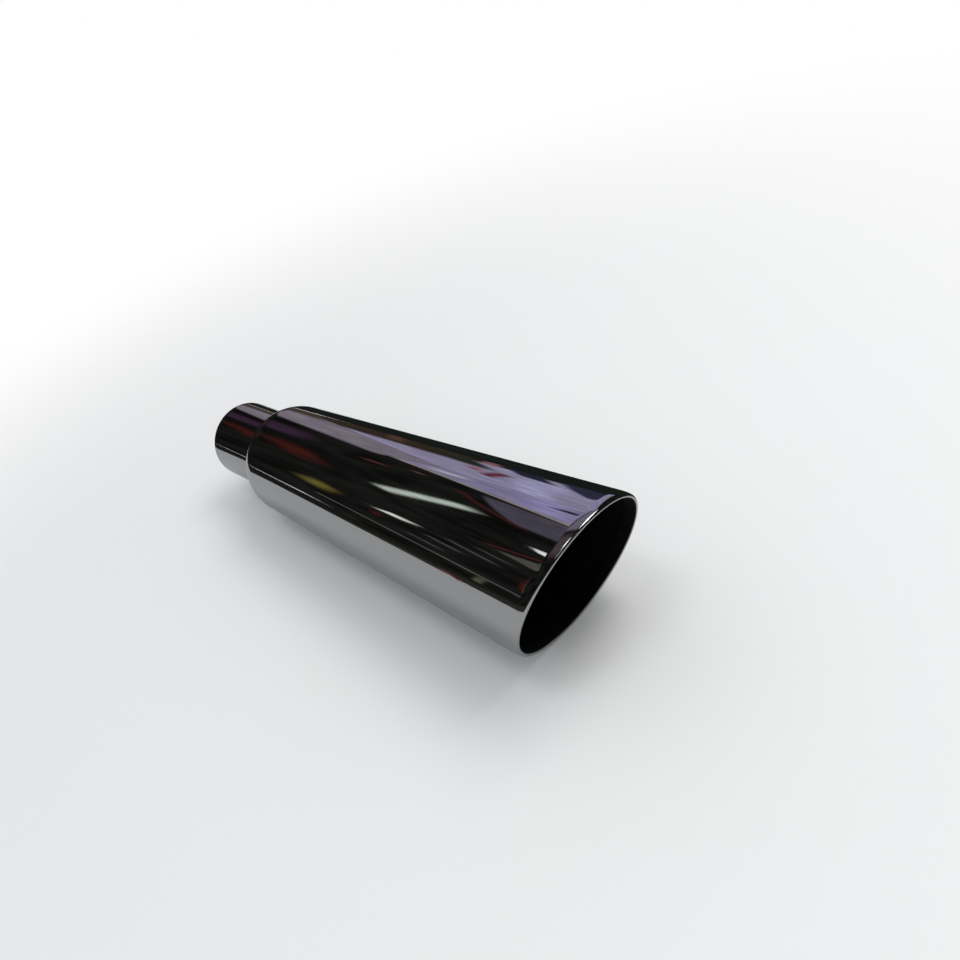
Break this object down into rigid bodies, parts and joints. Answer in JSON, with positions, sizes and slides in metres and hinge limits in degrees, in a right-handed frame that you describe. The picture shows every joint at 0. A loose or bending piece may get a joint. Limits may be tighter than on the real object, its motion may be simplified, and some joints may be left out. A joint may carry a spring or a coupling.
{
  "type": "slash-cut exhaust tip",
  "caption": "Chromed sheet-metal exhaust tip: a slip-on neck, a domed shoulder and a flared body whose mouth is cut on a slant and edged with a folded lip.",
  "frame": {"origin": "centre of the neck's open end, on the pipe's axis", "axes": "+X along the pipe from the neck to the mouth, +Z towards the side on which the slash cut reaches furthest, as the tip is fitted to a car; +Y to the left seen from the mouth's far side, looking along +X"},
  "size_m": [0.3888, 0.1012, 0.1012],
  "materials": {
    "shell_chrome": "decorative chromium plate on steel sheet, polished; matt black heat-proof coat inside",
    "neck_chrome": "decorative chromium plate on steel tube, polished",
    "weld_chrome": "weld dressed smooth and plated with the rest"
  },
  "bodies": {
    "root": {"outer_shell": "shell_chrome", "inlet_tube": "neck_chrome", "weld_bead": "weld_chrome"}
  },
  "joints": []
}
